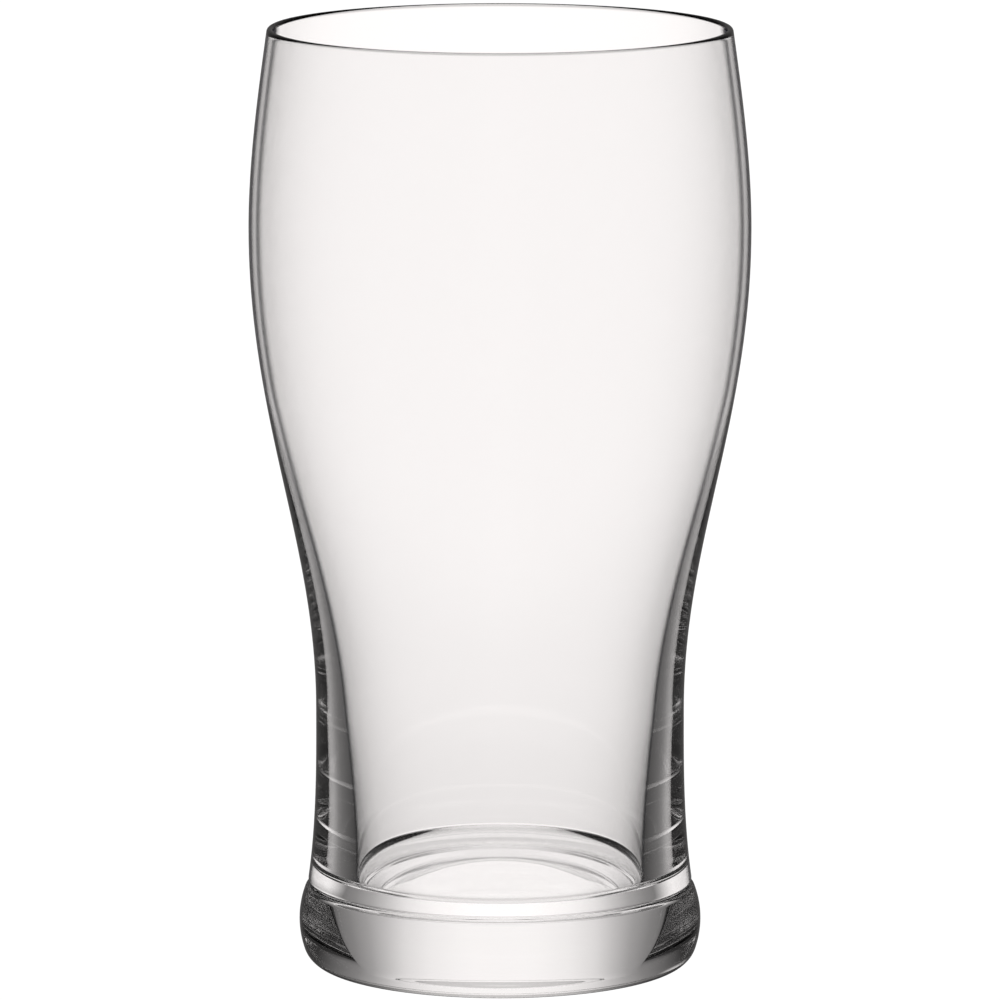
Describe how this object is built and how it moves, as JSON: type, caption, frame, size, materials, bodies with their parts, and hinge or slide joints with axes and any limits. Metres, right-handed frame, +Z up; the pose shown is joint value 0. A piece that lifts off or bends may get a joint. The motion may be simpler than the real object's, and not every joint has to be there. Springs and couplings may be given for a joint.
{
  "type": "pint glass",
  "caption": "Tall tulip-shaped drinking glass: a wide mouth over a full belly, a narrow waist with a thickening wall, and a thick solid foot to stand on. It holds a cold drink.",
  "frame": {"origin": "centre of the foot's underside, on the table plane under the middle of the glass", "axes": "+Z up along the glass's axis, from the foot to the rim; the glass is round about it, so +X and +Y are free choices"},
  "size_m": [0.0868, 0.0868, 0.164],
  "materials": {
    "clear_glass": "clear soda-lime glass, fire-polished and smooth"
  },
  "bodies": {
    "root": {"bowl": "clear_glass", "foot": "clear_glass"}
  },
  "joints": []
}
